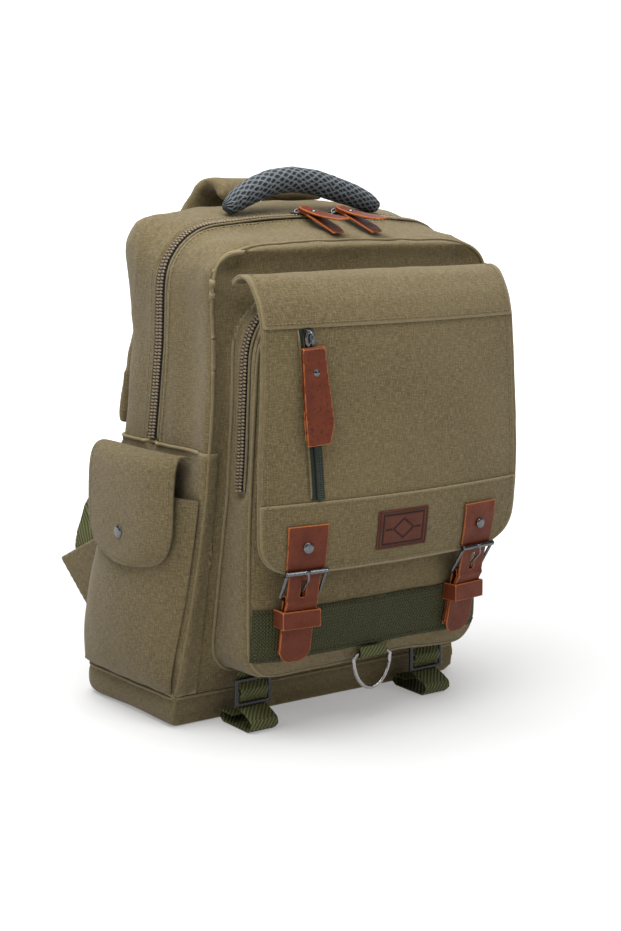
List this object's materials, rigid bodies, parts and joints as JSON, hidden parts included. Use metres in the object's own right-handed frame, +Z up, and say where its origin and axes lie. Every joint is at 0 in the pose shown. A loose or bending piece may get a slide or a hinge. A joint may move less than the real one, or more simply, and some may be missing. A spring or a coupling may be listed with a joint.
{
  "type": "canvas backpack",
  "caption": "Boxy canvas backpack with a buckled front flap over a zipped pocket, bellows side pockets, shoulder straps and a padded haul handle.",
  "frame": {"origin": "middle of the whole's bounding box, on the ground under the base", "axes": "+Z up, the flap and pocket face -Y, the wearer's back is on +Y, +X to the right of a viewer facing the flap"},
  "size_m": [0.3602, 0.3146, 0.4732],
  "materials": {
    "canvas": "matt heathered cotton canvas",
    "leather": "satin, raw orange edges",
    "gunmetal": "polished gunmetal",
    "webbing": "ribbed weave",
    "glide_plastic": "satin",
    "bronze_zip": "satin coil on woven tape",
    "green_zip": "satin coil on woven tape",
    "pad_mesh": "open spacer mesh"
  },
  "bodies": {
    "pack": {"rear_body": "canvas", "front_body": "canvas", "base_panel": "canvas", "front_pocket": "canvas", "flap_panel": "canvas", "flap_top_strip": "canvas", "flap_lower_band": "canvas", "side_yoke_left": "canvas", "side_pocket_left": "canvas", "side_flap_left": "canvas", "shoulder_strap_left": "canvas", "strap_wing_left": "canvas", "side_yoke_right": "canvas", "side_pocket_right": "canvas", "side_flap_right": "canvas", "shoulder_strap_right": "canvas", "strap_wing_right": "canvas", "leather_patch": "leather", "flap_pull": "leather", "main_pull_left": "leather", "closure_strap_left": "leather", "buckle_anchor_left": "leather", "keeper_left": "leather", "main_pull_right": "leather", "closure_strap_right": "leather", "buckle_anchor_right": "leather", "keeper_right": "leather", "flap_slider": "gunmetal", "main_slider_left": "gunmetal", "tab_rivet_left": "gunmetal", "buckle_left": "gunmetal", "snap_left": "gunmetal", "main_slider_right": "gunmetal", "tab_rivet_right": "gunmetal", "buckle_right": "gunmetal", "snap_right": "gunmetal", "webbing_band": "webbing", "ring_loop": "webbing", "harness_web_left": "webbing", "lash_strap_left": "webbing", "harness_web_right": "webbing", "lash_strap_right": "webbing", "glide_left": "glide_plastic", "glide_right": "glide_plastic", "main_zip": "bronze_zip", "pocket_zip": "bronze_zip", "flap_zip": "green_zip", "haul_handle": "pad_mesh"},
    "ring": {"d_ring": "gunmetal"}
  },
  "joints": [
    {"name": "d_ring_swing", "type": "hinge", "parent": "pack", "child": "ring", "pos_m": [0, -0.11403, 0.0613], "axis": [1, 0, 0], "range_deg": [-95, 0]}
  ]
}
